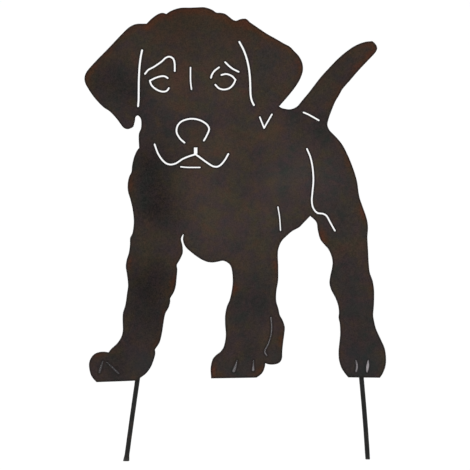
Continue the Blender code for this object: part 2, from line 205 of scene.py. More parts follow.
def stations(lengths, step, least):
    """Points at about even steps along edges of given lengths: each one's edge and its share along it."""
    steps = np.maximum(least, np.round(lengths / step)).astype(int)
    edge = np.repeat(np.arange(len(steps)), steps)
    share = (np.arange(len(edge)) - np.repeat(np.cumsum(steps) - steps, steps)) / steps[edge]
    return edge, share[:, None]


def waves(seed, length, *coordinates):
    """A smooth random function, mostly from -1 to 1: a sum of WAVES sine waves about length long.

    Each wave has a random direction and phase, and the sum is divided by the root of twice their number.
    """
    draw = np.random.default_rng(seed)
    total = 0
    for _ in range(WAVES):
        direction = draw.normal(size=len(coordinates))
        direction *= draw.uniform(0.7, 1.5) * 2 * math.pi / length / np.linalg.norm(direction)
        phase = draw.uniform(0, 2 * math.pi)
        total = total + np.sin(sum(d * c for d, c in zip(direction, coordinates)) + phase)
    return total / math.sqrt(WAVES * 2)


# Shader arithmetic
class Wire:
    """A value in a material's node tree. Python arithmetic on it adds Math nodes."""

    def __init__(self, paint, socket):
        self.paint = paint
        self.socket = socket

    def math(self, operation, first, second):
        """One Math node over two values, of which either may be a plain number."""
        return self.paint.node("ShaderNodeMath", {"operation": operation}, {0: first, 1: second})

    def __add__(self, other):
        return self.math("ADD", self, other)

    def __mul__(self, other):
        return self.math("MULTIPLY", self, other)

    def __sub__(self, other):
        return self.math("SUBTRACT", self, other)

    def __rsub__(self, other):
        return self.math("SUBTRACT", other, self)

    def __pow__(self, other):
        return self.math("POWER", self, other)

    __radd__ = __add__
    __rmul__ = __mul__


def tone(*levels):
    """A colour from its levels on screen, 0 to 255, by the sRGB curve."""
    shares = (level / 255 for level in levels)
    return tuple(share / 12.92 if share <= 0.04045 else ((share + 0.055) / 1.055) ** 2.4 for share in shares)


class Paint:
    """A material under its own name, with the one method that adds a node to it."""

    def __init__(self, name):
        self.material = bpy.data.materials.new(name)
        self.material.use_nodes = True
        self.tree = self.material.node_tree
        self.shader = self.tree.nodes["Principled BSDF"]
        self.place = self.node("ShaderNodeTexCoord", output="Object")

    def node(self, kind, settings=None, sockets=None, output=0):
        """Adds a node: first its settings, then the values or links of its sockets. Gives one output."""
        item = self.tree.nodes.new(kind)
        for key, value in (settings or {}).items():
            if key == "stops":
                while len(item.color_ramp.elements) < len(value):
                    item.color_ramp.elements.new(0.5)
                for element, (position, colour) in zip(item.color_ramp.elements, value):
                    element.position = position
                    element.color = (*colour, 1.0)
            else:
                setattr(item, key, value)
        for key, value in (sockets or {}).items():
            self.put(item.inputs[key], value)
        return Wire(self, item.outputs[output])

    def put(self, socket, value):
        """Links a wire to a socket, or sets the socket's own value."""
        if isinstance(value, Wire):
            self.tree.links.new(value.socket, socket)
        elif socket.type == "RGBA" and len(value) == 3:
            socket.default_value = (*value, 1.0)
        else:
            socket.default_value = value

    def set(self, **values):
        """Sets the shader's sockets, which are named with _ for a space."""
        for key, value in values.items():
            self.put(self.shader.inputs[key.replace("_", " ")], value)

    def layer(self, name):
        """A number that the mesh carries at each of its points."""
        return self.node("ShaderNodeAttribute", {"attribute_name": name}, output="Fac")

    def noise(self, size, detail=4.0, rough=0.55, stretch=(1, 1, 1), twist=0.0):
        """Cloudy noise from 0 to 1, with features up to size millimetres across, or stretched by axis."""
        scale = [1 / (size * MM * axis) for axis in stretch]
        spot = self.node("ShaderNodeVectorMath", {"operation": "MULTIPLY"}, {0: self.place, 1: scale})
        sockets = {"Vector": spot, "Scale": 1.0, "Detail": detail, "Roughness": rough, "Distortion": twist}
        return self.node("ShaderNodeTexNoise", {"noise_dimensions": "3D"}, sockets, "Fac")

    def rise(self, value, low, high):
        """0 below low, 1 above high, and an S-shaped rise between them."""
        sockets = {"Value": value, "From Min": low, "From Max": high}
        return self.node("ShaderNodeMapRange", {"interpolation_type": "SMOOTHSTEP"}, sockets)

    def ramp(self, value, *stops):
        """A colour from a row of (position, colour) stops."""
        return self.node("ShaderNodeValToRGB", {"stops": stops}, {"Fac": value})

    def mix(self, share, first, second, blend="MIX"):
        """The first colour turned by a share into the second, or into the blend of the two."""
        settings = {"data_type": "RGBA", "blend_type": blend, "clamp_factor": True}
        return self.node("ShaderNodeMix", settings, {0: share, 6: first, 7: second}, 2)

    def tint(self, colour, gain):
        """A colour times a gain."""
        grey = self.node("ShaderNodeCombineXYZ", sockets={0: gain, 1: gain, 2: gain})
        return self.mix(1.0, colour, grey, "MULTIPLY")

    def bump(self, height, depth, below=None):
        """A normal for a relief of depth millimetres, from a height of 0 to 1, on top of the one below."""
        sockets = {"Height": height, "Distance": depth * MM, "Strength": 1.0}
        if below is not None:
            sockets["Normal"] = below
        return self.node("ShaderNodeBump", sockets=sockets, output="Normal")


# The narrow lines: each one's painted shade grey on screen, its open hairline, and its points' across, up and
# width
GROOVES = (
    (112, 0.02, ((25.1, 76.5, 1.6), (26.0, 66.0, 1.3), (25.0, 54.5, 1.2), (21.8, 44.7, 1.2),
                 (18.3, 37.9, 1.4), (17.9, 34.5, 1.5), (20.0, 30.9, 1.5))),
    (78, 0.012, ((-176.6, 24.3, 1.4), (-178.3, 18.9, 2.1), (-179.8, 14.1, 2.5), (-180.8, 10.6, 2.2))),
    (70, 0.012, ((-171.6, 22.8, 1.4), (-166.5, 17.9, 2.0), (-162.5, 14.1, 2.3), (-157.8, 9.6, 2.3))),
    (92, 0.02, ((-15.6, 25.4, 0.9), (-16.2, 22.5, 1.5), (-17.2, 18.8, 2.4), (-18.4, 15.3, 3.1),
                (-19.6, 12.4, 3.6))),
    (108, 0.02, ((4.3, 25.2, 0.7), (4.1, 21.0, 1.3), (3.9, 17.0, 2.1), (3.8, 13.8, 3.1))),
    (127, 0.02, ((127.0, 25.2, 1.1), (127.9, 22.0, 1.8), (128.4, 18.6, 2.1), (128.1, 14.8, 2.1),
                 (127.3, 11.7, 1.5))),
    (136, 0.02, ((142.0, 25.4, 0.9), (141.7, 22.5, 2.2), (141.3, 18.8, 3.4), (140.9, 15.8, 3.2),
                 (140.4, 11.5, 1.8))),
)

# Where the rust shows through most: across, up, reach and strength, in millimetres and shares
RUST_PATCHES = (
    (-190, 364, 16, 0.9),
    (-168, 392, 20, 0.7),
    (-144, 417, 18, 0.7),
    (-114, 431, 16, 0.9),
    (-90, 436, 22, 0.8),
    (-58, 438, 24, 0.7),
    (-28, 430, 20, 0.8),
    (2, 424, 16, 1.1),
    (30, 404, 22, 0.7),
    (56, 379, 16, 0.7),
    (144, 398, 13, 1.1),
    (122, 380, 18, 0.7),
    (98, 345, 18, 0.6),
    (-76, 342, 24, 0.6),
    (12, 296, 20, 0.65),
    (-142, 236, 12, 0.8),
    (-120, 166, 17, 0.8),
    (-145, 142, 11, 0.7),
    (-94, 118, 13, 1.0),
    (-104, 76, 11, 0.8),
    (-116, 48, 12, 0.8),
    (-182, 33, 10, 0.7),
    (-18, 110, 9, 1.0),
    (-42, 12, 11, 0.9),
    (10, 14, 10, 0.8),
    (36, 48, 10, 1.0),
    (28, 140, 9, 0.6),
    (88, 172, 11, 1.0),
    (116, 262, 16, 0.8),
    (138, 200, 12, 0.7),
    (147, 110, 10, 0.6),
    (-48, 190, 24, 0.4),
)

# Broad tones of the patina: across, up, reach, how much lighter and how much warmer
TONES = (
    (56, 250, 36, 0.60, -0.2),
    (28, 236, 18, 0.30, -0.9),
    (92, 236, 24, 0.25, -1.2),
    (84, 308, 22, -0.30, -1.2),
    (50, 322, 20, -0.15, -0.6),
    (21, 302, 22, 0.40, 1.0),
    (-36, 283, 24, 0.30, 0.5),
    (-54, 236, 34, 0.40, 0.3),
    (-42, 187, 34, 0.45, 0.0),
    (20, 195, 30, 0.35, 0.0),
    (-92, 195, 18, -0.20, -0.3),
    (-96, 352, 24, 0.30, 0.9),
    (-64, 374, 18, 0.15, 0.6),
    (-45, 398, 26, 0.10, -0.1),
    (-40, 345, 30, 0.25, 0.2),
    (-115, 305, 22, -0.20, -0.6),
    (-118, 258, 28, -0.95, -0.6),
    (-112, 210, 28, -0.90, -0.5),
    (-120, 118, 32, -1.00, 0.0),
    (-124, 72, 28, -0.60, -0.5),
    (-150, 26, 30, -0.45, -0.8),
    (-172, 8, 18, -0.15, -1.4),
    (2, 96, 32, -0.35, -0.7),
    (-6, 34, 26, -0.25, -0.6),
    (12, 150, 24, 0.10, 0.3),
    (122, 128, 28, -0.20, -0.9),
    (124, 72, 28, -0.20, -0.7),
    (134, 28, 24, -0.25, -1.6),
    (-168, 362, 30, -0.60, 0.1),
    (-140, 345, 24, -0.45, -0.3),
    (-80, 425, 46, -0.35, 0.9),
    (-10, 420, 30, -0.20, 1.0),
    (38, 366, 34, 0.0, 0.2),
    (112, 362, 34, -0.25, -0.2),
)


def patches(spots, across, up):
    """The sum of soft round spots: each is its strength times a bell curve of the distance in reaches."""
    total = np.zeros_like(across)
    for x, z, reach, strength in spots:
        total += strength * np.exp(-((across - x) ** 2 + (up - z) ** 2) / reach ** 2)
    return total


# Sheet steel
def front_loops():
    """The closed loops round the solid's front face, with the steel on their left, in pattern millimetres.

    They are the edges of front triangles that no other front triangle shares, in walking order.
    """
    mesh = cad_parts[SHEET].data
    mesh.calc_loop_triangles()
    corners = np.empty(len(mesh.loop_triangles) * 3, int)
    mesh.loop_triangles.foreach_get("vertices", corners)
    points, merged = np.unique((node_points(SHEET) / MERGE_STEP).round(), axis=0, return_inverse=True)
    points *= MERGE_STEP / MM
    triangles = merged.ravel()[corners].reshape(-1, 3)
    front = triangles[(points[triangles, 1] < points[:, 1].mean()).all(axis=1)]
    edges = np.concatenate([front[:, [0, 1]], front[:, [1, 2]], front[:, [2, 0]]])
    there = edges[:, 0] * len(points) + edges[:, 1]
    back = edges[:, 1] * len(points) + edges[:, 0]
    following = dict(edges[~np.isin(there, back)].tolist())
    loops = []
    while following:
        start = next(iter(following))
        walk = [start]
        while following[walk[-1]] != start:
            walk.append(following.pop(walk[-1]))
        following.pop(walk[-1])
        loops.append(points[walk][:, [0, 2]])
    return sorted(loops, key=lambda loop: -np.ptp(loop[:, 1]))


def without_spurs(loop):
    """A closed loop without the points where it turns back on itself by a hair's breadth."""
    ahead = np.roll(loop, -1, axis=0) - loop
    length = np.linalg.norm(ahead, axis=1)
    behind = np.roll(ahead, 1, axis=0)
    back = (behind * ahead).sum(axis=1) < SPUR_COSINE * length * np.roll(length, 1)
    return loop[~(back & (np.minimum(length, np.roll(length, 1)) < SPUR_LENGTH))]


def redrawn(loop, step):
    """A closed loop with even steps along it, curved through its points and kept sharp at its corners.

    Between two points it is a cubic Hermite curve. A point's direction is the mean of its two chords, each
    weighted by its length squared, so a long straight edge stays straight, but a corner keeps both chords.
    """
    chord = np.roll(loop, -1, axis=0) - loop
    length = np.linalg.norm(chord, axis=1)[:, None]
    ahead = chord / length
    behind = np.roll(ahead, 1, axis=0)
    before = np.roll(length, 1, axis=0)
    mean = ahead * length ** 2 + behind * before ** 2
    mean /= np.linalg.norm(mean, axis=1)[:, None]
    corner = (behind * ahead).sum(axis=1)[:, None] < math.cos(CORNER_TURN)
    leaving = np.where(corner, ahead, mean)
    arriving = np.roll(np.where(corner, behind, mean), -1, axis=0)
    k, share = stations(length[:, 0], step, 1)
    end = np.roll(loop, -1, axis=0)
    return cubic(share, loop[k], length[k] * leaving[k], end[k], length[k] * arriving[k])


def into_steel(loop, depth):
    """For each point of a loop, the step into the steel that ends depth away from both of its edges.

    It is less where an edge is so short that the steps of its two ends would cross.
    """
    chord = np.roll(loop, -1, axis=0) - loop
    length = np.linalg.norm(chord, axis=1)[:, None]
    ahead = chord / length
    behind = np.roll(ahead, 1, axis=0)
    both = ahead + behind
    left = np.column_stack([-both[:, 1], both[:, 0]])
    width = (left ** 2).sum(axis=1)[:, None] / 2
    turn = np.linalg.norm(ahead - behind, axis=1)[:, None] / np.linalg.norm(both, axis=1)[:, None]
    room = SHORT_EDGE_SHARE * np.minimum(length, np.roll(length, 1, axis=0)) / np.maximum(turn, 1e-6)
    return np.minimum(depth, room) * left / np.maximum(width, NARROWEST_CORNER)


def stroke(line, share, gap):
    """The closed loop round a line, clockwise, at a share of its width plus a gap, with round ends.

    The line is a Catmull-Rom curve through its points, resampled at even steps, and its width goes with it.
    """
    line = np.array(line, float)
    before = np.vstack([2 * line[0] - line[1], line[:-1]])
    after = np.vstack([line[1:], 2 * line[-1] - line[-2]])
    slope = (after - before) / 2
    length = np.linalg.norm(np.diff(line[:, :2], axis=0), axis=1)
    k, share_along = stations(length, GROOVE_STEP, 2)
    curve = np.vstack([cubic(share_along, line[k], slope[k], line[k + 1], slope[k + 1]), line[-1:]])
    ahead = np.gradient(curve[:, :2], axis=0)
    ahead /= np.linalg.norm(ahead, axis=1)[:, None]
    left = np.column_stack([-ahead[:, 1], ahead[:, 0]])
    radius = (curve[:, 2:] * share + gap) / 2
    turn = np.linspace(0, math.pi, GROOVE_CAP + 2)[1:-1, None]
    far_end = curve[-1, :2] + radius[-1] * (left[-1] * np.cos(turn) + ahead[-1] * np.sin(turn))
    near_end = curve[0, :2] - radius[0] * (left[0] * np.cos(turn) + ahead[0] * np.sin(turn))
    there = curve[:, :2] + radius * left
    back = curve[::-1, :2] - (radius * left)[::-1]
    return np.vstack([there, far_end, back, near_end])


def distance_to(targets, points):
    """Each point's distance to the nearest target, worked out a block of points at a time."""
    parts = np.array_split(points, len(points) // BLOCK + 1)
    squares = [((part[:, None] - targets) ** 2).sum(axis=2).min(axis=1) for part in parts]
    return np.sqrt(np.concatenate(squares))


def inside(points, loop):
    """Whether each point lies inside a loop: a ray to the right crosses it an odd number of times."""
    end = np.roll(loop, -1, axis=0)
    found = []
    for part in np.array_split(points, len(points) // BLOCK + 1):
        x, z = part[:, :1], part[:, 1:]
        crosses = (loop[:, 1] > z) != (end[:, 1] > z)
        rise = np.where(crosses, end[:, 1] - loop[:, 1], 1)
        meets = loop[:, 0] + (z - loop[:, 1]) * (end[:, 0] - loop[:, 0]) / rise
        found.append((crosses & (x < meets)).sum(axis=1) % 2 == 1)
    return np.concatenate(found)


def grid_over(rings):
    """Points of a triangular grid on the steel, FACE_STEP apart and kept clear of every ring."""
    low, high = rings[0].min(axis=0), rings[0].max(axis=0)
    row_step = FACE_STEP * math.sqrt(3) / 2
    across, up = np.meshgrid(np.arange(low[0], high[0], FACE_STEP), np.arange(low[1], high[1], row_step))
    across = across + FACE_STEP / 2 * (np.arange(len(up)) % 2)[:, None]
    points = np.column_stack([across.ravel(), up.ravel()])
    points = points[inside(points, rings[0])]
    for ring in rings[1:]:
        points = points[~inside(points, ring)]
    return points[distance_to(np.vstack(rings), points) > RING_CLEARANCE]


def slot_width(loop):
    """The mean width of a slot: twice its area over its perimeter."""
    end = np.roll(loop, -1, axis=0)
    area = (loop[:, 0] * end[:, 1] - end[:, 0] * loop[:, 1]).sum() / 2
    return 2 * abs(area) / np.linalg.norm(end - loop, axis=1).sum()


def cut_walls():
    """For every cut its ring on the faces, and the rows of its wall as points, depth shares and greys.

    The outline and the slots have bevels and a wall of three stations that stands a little proud and ripples
    by a few hundredths, as a cutter's drag lines do. The narrow lines are grooves that leave a hairline open.
    """
    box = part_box(SHEET)
    thickness = (box[1].y - box[0].y) / MM
    cuts = []
    for number, loop in enumerate(without_spurs(loop) for loop in front_loops()):
        width = slot_width(loop)
        if width < NARROW_SLOT:
            continue
        bevel, step = (SLOT_BEVEL, SLOT_STEP) if number else (EDGE_BEVEL, OUTLINE_STEP)
        lip = min(SLOT_LIP_SHARE * width, LARGEST_SLOT_LIP) if number else EDGE_LIP
        loop = redrawn(loop, step)
        inward = into_steel(loop, bevel)
        run = np.cumsum(np.linalg.norm(loop - np.roll(loop, 1, axis=0), axis=1))
        ripple = waves(number, DRAG_LENGTH, run) + 0.6 * waves(number + 50, SHAKE_LENGTH, run)
        rows = []
        for share in WALL_STATIONS:
            cut = WALL_RIPPLE * (RIPPLE_AT_FRONT + share) * ripple - lip / bevel
            depth = (bevel + share * (thickness - 2 * bevel)) / thickness
            rows.append((loop + cut[:, None] * inward, depth, 0))
        cuts.append((loop + (1 - lip / bevel) * inward, rows))
    for grey, gap, line in GROOVES:
        rows = [(stroke(line, share, gap), depth, grey * shade) for share, depth, shade in GROOVE_STATIONS]
        cuts.append((stroke(line, 1, gap), rows))
    return cuts


def puppy_sheet(material):
    """The puppy as a sheet: both faces finely triangulated, with the cut wall carried along every loop.

    The whole sheet is warped by a fraction of its thickness, except where the stakes hold it flat.
    """
    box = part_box(SHEET)
    front, back = box[0].y / MM, box[1].y / MM
    cuts = cut_walls()
    rings = [ring for ring, rows in cuts]
    flat = np.vstack([*rings, grid_over(rings)])
    starts = np.cumsum([0] + [len(ring) for ring in rings])
    bounds = [list(range(start, end)) for start, end in zip(starts[:-1], starts[1:])]
    # The slots' loops run clockwise, and the triangulation takes every loop the other way round
    bounds[1:] = [bound[::-1] for bound in bounds[1:]]
    laid = delaunay_2d_cdt([Vector(point) for point in flat], [], bounds, 0, JOIN_REACH)
    laid_faces, point_origins, face_covers = laid[2], laid[3], laid[5]
    given = np.array([origin[0] for origin in point_origins])
    # Steel is what the outline alone covers, and a hole is covered by its slot as well
    steel = [face for face, cover in zip(laid_faces, face_covers) if list(cover) == [0]]
    triangles = np.array([given[list(face)] for face in steel])

    pattern = [flat, flat]
    depth = [np.zeros(len(flat)), np.ones(len(flat))]
    # Painted shade: the grey of each groove's wall rows; the faces have none
    bare = [np.zeros(2 * len(flat))]
    faces = [triangles.tolist(), (triangles[:, ::-1] + len(flat)).tolist()]
    count = 2 * len(flat)
    for start, (ring, rows) in zip(starts, cuts):
        size = len(ring)
        numbers = [start + np.arange(size)]
        for points, share, grey in rows:
            pattern.append(points)
            depth.append(np.full(size, share))
            bare.append(np.full(size, grey))
            numbers.append(count + np.arange(size))
            count += size
        numbers.append(numbers[0] + len(flat))
        for upper, lower in zip(numbers[:-1], numbers[1:]):
            faces.append(np.column_stack([upper, lower, np.roll(lower, -1), np.roll(upper, -1)]).tolist())

    pattern = np.vstack(pattern)
    across, up = pattern.T
    welds = np.array([[weld_spot(stake)[0], weld_spot(stake)[2]] for stake in STAKES]) / MM
    to_weld = distance_to(welds, pattern)
    bend = waves(3, WARP_LENGTH, across, up) + 0.3 * waves(4, BUCKLE_LENGTH, across, up)
    y = front + np.concatenate(depth) * (back - front) + WARP * smoothstep(*WARP_FREE, to_weld) * bend
    layers = {
        "edge": distance_to(rings[0], pattern),
        "slit": distance_to(np.vstack(rings[1:]), pattern),
        "rust": patches(RUST_PATCHES, across, up),
        "pale": patches([(x, z, reach, light) for x, z, reach, light, warm in TONES], across, up),
        "warm": patches([(x, z, reach, warm) for x, z, reach, light, warm in TONES], across, up),
        "weld": to_weld,
        "wall": np.arange(len(pattern)) >= 2 * len(flat),
        "bare": np.concatenate(bare) / 255,
    }
    return mesh_piece("puppy_sheet", np.column_stack([across, y, up]) * MM, sum(faces, []), material, layers)


# Stakes
def stake_line(stake):
    """A stake's axis: where it crosses the ground line, in metres, and its unit direction up the rod.

    The direction is the main one of the solid's corners, laid in the sheet's plane. The axis passes through
    their mean.
    """
    points = node_points(f"{stake}_stake")
    centre = points.mean(axis=0)
    direction = np.linalg.svd(points - centre, full_matrices=False)[2][0]
    direction[1] = 0
    direction *= np.sign(direction[2]) / np.linalg.norm(direction)
    middle = (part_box(f"{stake}_stake")[0].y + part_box(f"{stake}_stake")[1].y) / 2
    foot = centre - direction * centre[2] / direction[2]
    return np.array([foot[0], middle, 0.0]), direction


def weld_spot(stake):
    """The middle of the welds that hold a stake, in metres: the mean of their boxes' corners."""
    boxes = [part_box(f"{stake}_weld_{side}") for side in ("left", "right")]
    return np.mean([corner for box in boxes for corner in box], axis=0)


def skin(count, size):
    """Quads over count rings of equal size, numbered one after another, with a fan at each end.

    The first and last points are the fans' middles.
    """
    around = np.arange(size)
    beside = (around + 1) % size
    rows = 1 + size * np.arange(count - 1)[:, None]
    quads = np.stack([rows + around, rows + beside, rows + size + beside, rows + size + around], axis=2)
    last = 1 + size * count
    first_fan = np.column_stack([np.zeros(size, int), 1 + beside, 1 + around])
    last_fan = np.column_stack([np.full(size, last), last - size + around, last - size + beside])
    return quads.reshape(-1, 4).tolist() + first_fan.tolist() + last_fan.tolist()


def closed(rings, ends):
    """The points of rings in millimetres, turned into metres, between the middles of the two end rings."""
    middles = ends.mean(axis=1)
    return np.vstack([middles[:1], rings.reshape(-1, 3), middles[1:]]) * MM


def stake_rod(stake, material):
    """A stake as a grid of angle and height: a round rod, a little uneven, pinched flat at the sheared tip.

    Below the ground line it bows sideways by half a sine wave. Towards the tip its width grows to the
    spread and its depth shrinks to TIP_THINNING of the radius, and the cut across it is level. Both ends
    are rounded by rings that shrink in the end plane.
    """
    node = f"{stake}_stake"
    foot, direction = stake_line(stake)
    low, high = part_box(node)
    radius = (high.y - low.y) / 2 / MM
    points = node_points(node)
    run = (points - foot) @ direction / MM
    top = run.max()
    depth = (ROD_LONGER[stake] - low.z / MM) / direction[2]
    sideways = np.array([direction[2], 0.0, -direction[0]])
    tip = run < run.min() + TIP_LENGTH
    spread = np.abs((points[tip] - foot) @ sideways).max() / MM / radius * TIP_FLARE[stake]

    body = np.arange(-depth + END_ROUND, top - END_ROUND, ROD_STEP)
    heights = np.concatenate([np.full(len(END_SHARES), -depth), body, np.full(len(END_SHARES), top)])
    end_size = np.concatenate([END_SHARES, np.ones(len(body)), END_SHARES[::-1]])
    trimmed = 1 - END_ROUND_WIDTH / radius
    end_size = np.where(end_size < 1, end_size / max(END_SHARES) * trimmed, 1.0)[:, None]
    pinch = smoothstep(0, 1, (PINCH_LENGTH - depth - heights) / PINCH_LENGTH)[:, None]
    angle = np.linspace(0, 2 * math.pi, ROD_SIDES, endpoint=False)[None, :]
    wide = (radius + ROD_SKIN) * (1 + pinch * (spread - 1)) * end_size
    deep = (radius + ROD_SKIN) * (1 + pinch * (TIP_THINNING - 1)) * end_size
    height = heights[:, None] + 0 * angle
    cosine, sine = np.cos(angle), np.sin(angle)
    uneven = ROD_ROUGHNESS * (waves(11, DENT_LENGTH, height, DENT_RADIUS * cosine, DENT_RADIUS * sine)
                              + 0.5 * waves(12, PIT_LENGTH, height, radius * cosine, radius * sine))
    bow = ROD_BOW[stake] * np.sin(math.pi * np.clip(-height / depth, 0, 1))
    x = (wide + uneven) * cosine + bow
    y = (deep + uneven) * sine
    height = height + pinch ** 2 * x * direction[0] / direction[2]
    grid = foot / MM + x[..., None] * sideways + y[..., None] * BACKWARD + height[..., None] * direction
    rings = grid[1:-1]
    along = np.concatenate([[heights[0]], np.repeat(heights[1:-1], ROD_SIDES), [heights[-1]]])
    points = closed(rings, grid[[0, -1]])
    rod = mesh_piece(f"{stake}_rod", points, skin(*rings.shape[:2]), material, {"along": along})
    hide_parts(node)
    return rod


# Welds
def weld_bead(stake, side, material):
    """A weld bead left (-1) or right (1) of a stake: a rippled fillet from the rod down to the sheet's back.

    Its section runs from the rod, over a face that bulges by half a sine wave, to its toe on the sheet, and
    back underneath. Each ripple is a crescent, because it lags behind at the bead's two edges. Both ends
    taper by a superellipse.
    """
    name = "left" if side < 0 else "right"
    node = f"{stake}_weld_{name}"
    foot, direction = stake_line(stake)
    sideways = np.array([direction[2], 0.0, -direction[0]])
    points = node_points(node)
    run = (points - foot) @ direction / MM
    reach = np.abs((points - foot) @ sideways).max() / MM
    radius = (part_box(f"{stake}_stake")[1].y - foot[1]) / MM
    floor = (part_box(SHEET)[1].y - foot[1]) / MM
    height = (points[:, 1].max() - foot[1]) / MM

    s = np.arange(run.min(), run.max() + BEAD_STEP, BEAD_STEP)
    share = np.clip((s - s[0]) / (s[-1] - s[0]), 0, 1)
    size = BEAD_END_SIZE + (1 - BEAD_END_SIZE) * np.sqrt(np.clip(1 - (2 * share - 1) ** 6, 0, 1))
    size = size * (1 + BEAD_WAVER * waves(21 + side, BEAD_WAVER_LENGTH, s))
    t = np.linspace(0, 1, BEAD_SECTION)[None, :]
    lag = RIPPLE_BEND * (2 * t - 1) ** 2
    drift = RIPPLE_DRIFT * waves(23, RIPPLE_DRIFT_LENGTH, s)[:, None]
    phase = 2 * math.pi * (s[:, None] / RIPPLE_PITCH + lag + drift)
    ripple = np.sin(phase + RIPPLE_LEAN * np.sin(phase))
    arch = np.sin(math.pi * t)
    bulge = (BEAD_BULGE * arch + RIPPLE_HEIGHT * arch ** 0.5 * ripple) * size[:, None]
    even = np.ones(len(s))
    high_point = np.column_stack([radius * ROD_OVERLAP * even, floor + (height - floor) * size])
    toe = np.column_stack([radius + (reach - radius) * size, (floor - BEAD_SUNK) * even])
    face = high_point[:, None] * (1 - t[..., None]) + toe[:, None] * t[..., None]
    slant = toe - high_point
    outward = np.column_stack([-slant[:, 1], slant[:, 0]]) / np.linalg.norm(slant, axis=1)[:, None]
    face = face + bulge[..., None] * outward[:, None]
    root = np.column_stack([radius * ROOT_OVERLAP * even, (floor - BEAD_SUNK) * even])
    section = np.concatenate([face, root[:, None]], axis=1)
    grid = (foot / MM + side * section[..., :1] * sideways + section[..., 1:] * BACKWARD
            + s[:, None, None] * direction)
    faces = skin(*grid.shape[:2])
    if side > 0:
        faces = [face[::-1] for face in faces]
    bead = mesh_piece(f"{stake}_bead_{name}", closed(grid, grid[[0, -1]]), faces, material)
    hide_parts(node)
    return bead


# Finishes
def weathered_steel():
    """Dark sheet steel with a brown bloom: charcoal patina, rust along the cut edges, and a fine matte grain.

    The layers edge, slit and weld are distances in millimetres, and the groove layer is the painted shade
    grey of a groove's wall.
    """
    paint = Paint("weathered sheet steel")
    edge = paint.layer("edge")
    slit = paint.layer("slit")
    rust = paint.layer("rust")
    pale = paint.layer("pale")
    warm = paint.layer("warm")
    weld = paint.layer("weld")
    wall = paint.layer("wall")
    bare = paint.layer("bare")
    drift = paint.noise(60, 3)
    cloud = paint.noise(24, 4, 0.6)
    hue = paint.noise(19, 3, 0.56, twist=0.4)
    mottle = paint.noise(8, 4, 0.65)
    speck = paint.noise(3.4, 3, 0.7)
    grain = paint.noise(1.3, 3, 0.7)

    # Charcoal patina in slow changes of hue
    colour = paint.ramp(
        0.5 + (hue - 0.5) * 0.65 + (drift - 0.5) * 0.4 + warm * 0.08,
        (0.36, tone(46, 44, 42)),
        (0.44, tone(54, 45, 44)),
        (0.50, tone(56, 46, 42)),
        (0.56, tone(59, 49, 40)),
        (0.64, tone(64, 48, 39)))
    # Rust bloom in the patches, along the outer edge and in clouds
    band = paint.rise(edge + (mottle - 0.5) * 16, 13.0, 1.0)
    bloom = rust * (0.35 + 0.55 * band) + band * 0.28 + warm * 0.20
    bloom = bloom + (cloud - 0.5) * 1.6 + (mottle - 0.5) * 0.6 + (speck - 0.5) * 0.4
    brown = paint.rise(bloom, 0.05, 0.70)
    red = paint.rise(bloom, 0.45, 1.15) * (0.35 + 0.65 * paint.rise(edge + (mottle - 0.5) * 8, 16.0, 2.0))
    colour = paint.mix(brown * 0.65, colour, tone(61, 44, 32))
    colour = paint.mix(red * 0.7, colour, tone(82, 47, 30))
    # A faint green and pink sheen, then light and dark down to the grain
    sheen = paint.ramp(
        paint.noise(26, 3, 0.55, twist=0.6),
        (0.38, (0.90, 1.05, 0.98)),
        (0.50, (0.99, 1.01, 1.00)),
        (0.62, (1.06, 0.98, 1.07)))
    colour = paint.mix(1.0, colour, sheen, "MULTIPLY")
    gain = 0.80 + pale * 0.44 + (cloud - 0.5) * 0.3 + (speck - 0.5) * 0.7 + (grain - 0.5) * 1.4
    colour = paint.tint(colour, gain)
    # Painted shade: darker bands along the cuts and darker cut walls; and a bluish heat tint round the welds
    edge_shade = paint.rise(edge + (speck - 0.5) * 0.8, 2.7, 1.6) * 0.50 + paint.rise(edge, 1.2, 0.2) * 0.05
    colour = paint.mix(edge_shade, colour, tone(24, 20, 19))
    slot_edge_shade = paint.rise(slit + (speck - 0.5) * 0.8, 2.6, 1.5) * 0.50 + paint.rise(slit, 1.2, 0.2) * 0.05
    colour = paint.mix(slot_edge_shade, colour, tone(26, 23, 22))
    heat = paint.rise(weld + (cloud - 0.5) * 16, 26.0, 6.0)
    colour = paint.mix(heat * 0.3, colour, tone(38, 41, 45))
    # Painted shade on the cut walls
    colour = paint.mix(wall * 0.7, colour, tone(32, 28, 26))
    # Painted shade: greys in the grooves, for the shaded ground seen through a cut
    ground = bare ** 2.2
    grey = paint.node("ShaderNodeCombineXYZ", sockets={0: ground, 1: ground * 0.93, 2: ground * 0.97})
    colour = paint.mix(paint.rise(bare, 0.0, 0.15), colour, grey)

    relief = paint.bump(cloud * 0.5 + mottle * 0.5, 0.2)
    relief = paint.bump(speck * 0.6 + grain * 0.4, 0.06, relief)
    paint.set(Base_Color=colour, Roughness=0.62 + red * 0.16 + (speck - 0.5) * 0.3, Metallic=0.15)
    paint.set(Normal=relief, Specular_IOR_Level=0.1)
    return paint.material


